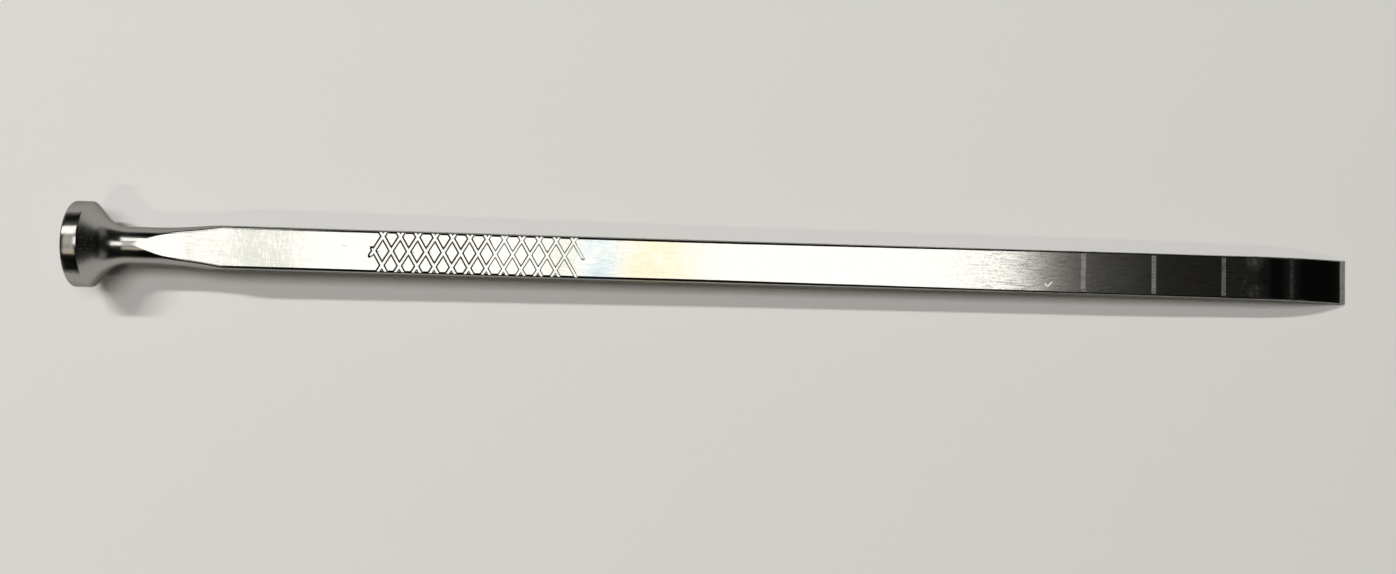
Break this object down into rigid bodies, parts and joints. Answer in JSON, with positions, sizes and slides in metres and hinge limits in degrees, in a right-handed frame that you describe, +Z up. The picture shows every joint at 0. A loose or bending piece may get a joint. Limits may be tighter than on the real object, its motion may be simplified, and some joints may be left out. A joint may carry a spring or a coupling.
{
  "type": "osteotome",
  "caption": "Curved bone chisel in one piece: round striking head, cross-cut grip on a flat shank, and a bent blade with depth marks.",
  "frame": {"origin": "on the surface that the tool lies on, under the middle of its length and width", "axes": "+X from the striking face to the cutting edge, along the table (the shank slopes down by 0.6 degrees towards the edge), +Z up out of the broad face that carries the depth marks, +Y across the blade"},
  "size_m": [0.1802, 0.012, 0.012],
  "materials": {
    "stainless_steel": "polished stainless steel with a fine lengthwise grain, satin depth marks"
  },
  "bodies": {
    "root": {"osteotome": "stainless_steel"}
  },
  "joints": []
}
